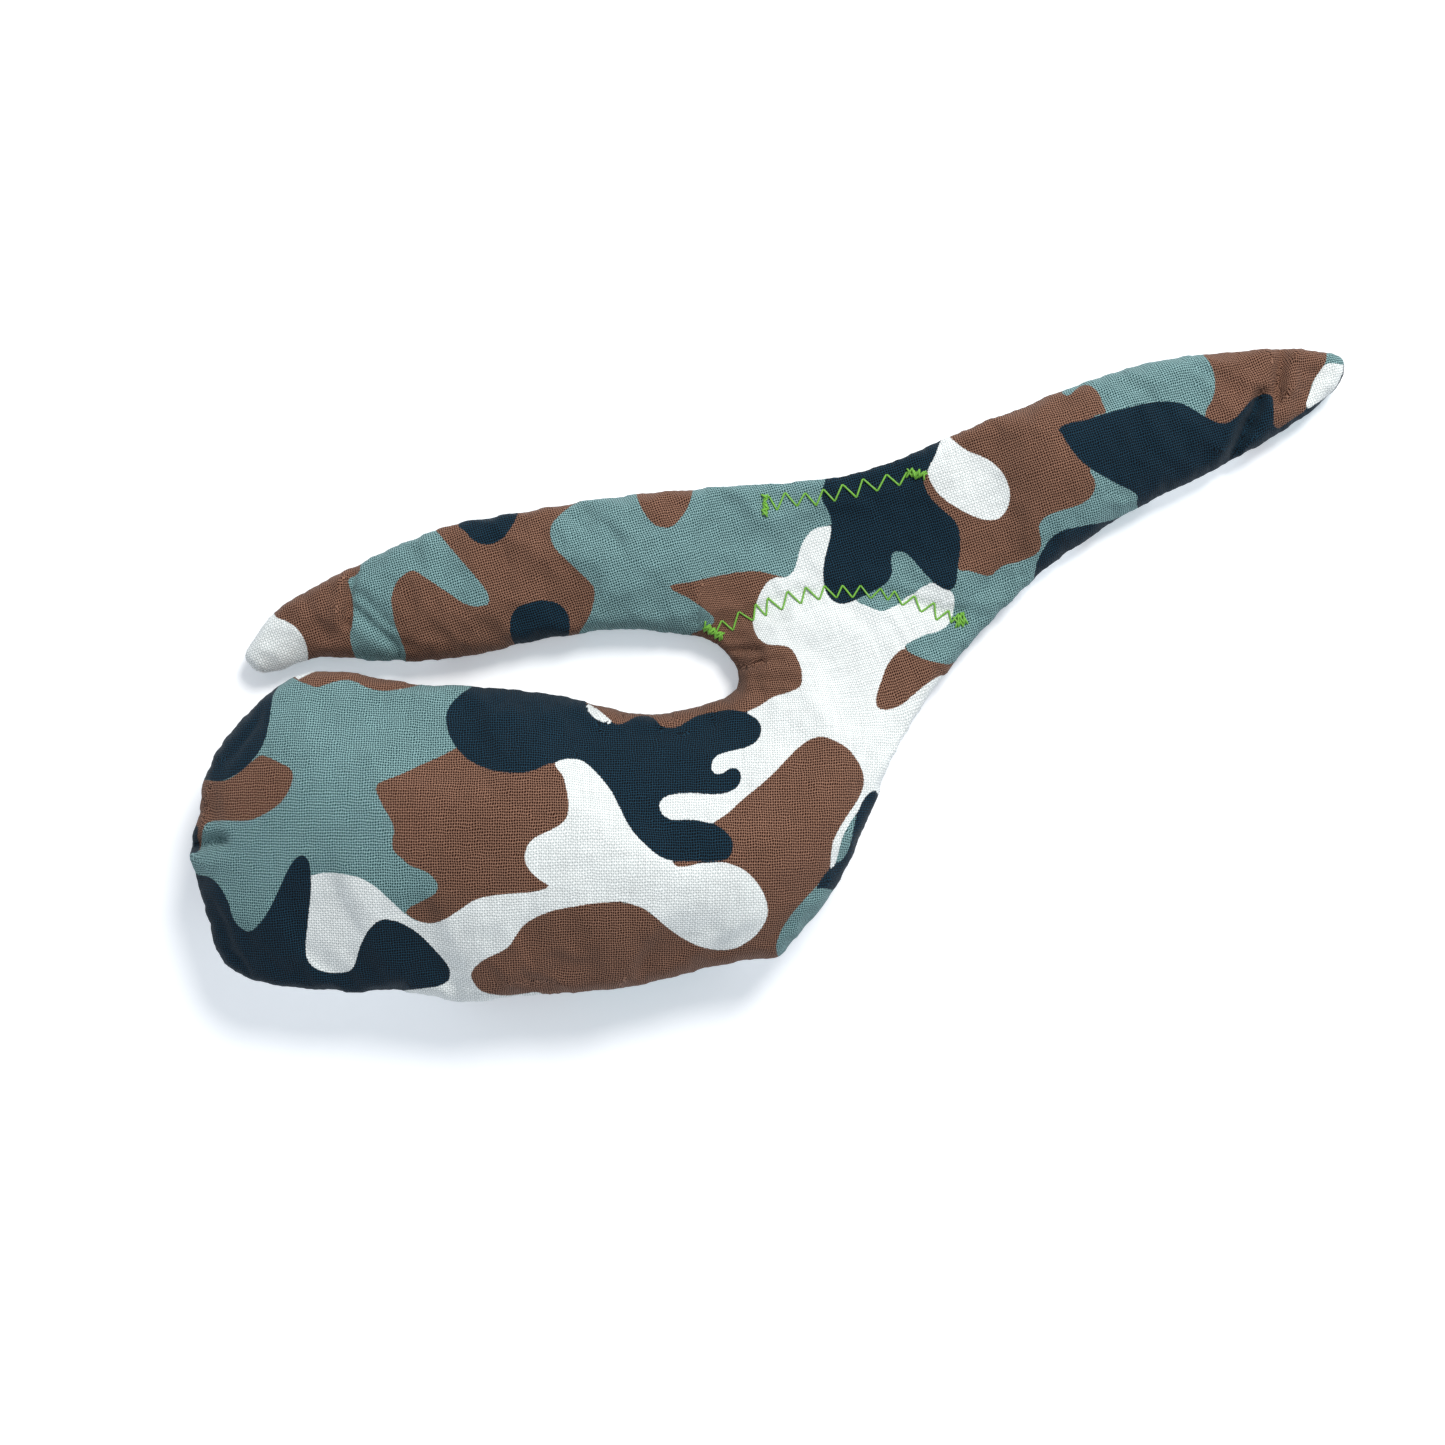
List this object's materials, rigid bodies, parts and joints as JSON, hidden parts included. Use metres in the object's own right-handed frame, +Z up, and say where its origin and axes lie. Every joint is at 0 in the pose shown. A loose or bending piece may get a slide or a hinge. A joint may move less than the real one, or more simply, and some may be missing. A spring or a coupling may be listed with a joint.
{
  "type": "training bumper",
  "caption": "Soft cotton training bumper: a stuffed body lobe joined by a flat folding middle to a crescent of two lightly stuffed wings, sewn with contrast zigzag seams.",
  "frame": {"origin": "on the table, under the middle of the outline seen from above", "axes": "+Z up from the table, +X along the body towards the right wing, +Y from the body across the middle towards the crescent"},
  "size_m": [0.287, 0.1627, 0.0368],
  "materials": {
    "front_print": "plain-woven cotton canvas with a matt camouflage print in sage, brown, dark blue-green and white",
    "back_print": "the same printed canvas, another stretch of the print",
    "stuffing": "loose white polyester fibre",
    "print_wrong_side": "paler wrong side of the canvas, raw cut edges",
    "green_thread": "bright yellow-green polyester sewing thread with a slight sheen"
  },
  "bodies": {
    "body": {"body_front_panel": "front_print", "body_back_panel": "back_print", "body_filling": "stuffing", "body_turned_allowance": "print_wrong_side"},
    "neck": {"neck_front_panel": "front_print", "neck_back_panel": "back_print", "neck_filling": "stuffing", "neck_turned_allowance": "print_wrong_side"},
    "middle": {"middle_front_panel": "front_print", "middle_back_panel": "back_print", "middle_turned_allowance": "print_wrong_side", "lower_zigzag_needle_thread": "green_thread", "lower_zigzag_bobbin_thread": "green_thread", "upper_zigzag_needle_thread": "green_thread", "upper_zigzag_bobbin_thread": "green_thread", "end_tacks_front": "green_thread", "end_tacks_back": "green_thread"},
    "left_wing": {"left_wing_front_panel": "front_print", "left_wing_back_panel": "back_print", "left_wing_filling": "stuffing", "left_wing_turned_allowance": "print_wrong_side"},
    "right_wing": {"right_wing_front_panel": "front_print", "right_wing_back_panel": "back_print", "right_wing_filling": "stuffing", "right_wing_turned_allowance": "print_wrong_side"}
  },
  "joints": [
    {"name": "neck_swing", "type": "hinge", "parent": "body", "child": "neck", "pos_m": [0.026, -0.018, 0.011], "axis": [0, 0, 1], "range_deg": [-18, 0]},
    {"name": "neck_fold", "type": "hinge", "parent": "neck", "child": "middle", "pos_m": [0.0189, 0.00775, 0.006], "axis": [0.9984, 0.0562, 0], "range_deg": [-60, 5]},
    {"name": "left_wing_flap", "type": "hinge", "parent": "middle", "child": "left_wing", "pos_m": [-0.01235, 0.0275, 0.006], "axis": [0.3819, 0.9242, 0], "range_deg": [-60, 60]},
    {"name": "right_wing_flap", "type": "hinge", "parent": "middle", "child": "right_wing", "pos_m": [0.05405, 0.0405, 0.006], "axis": [0.2481, -0.9687, 0], "range_deg": [-70, 70]}
  ]
}
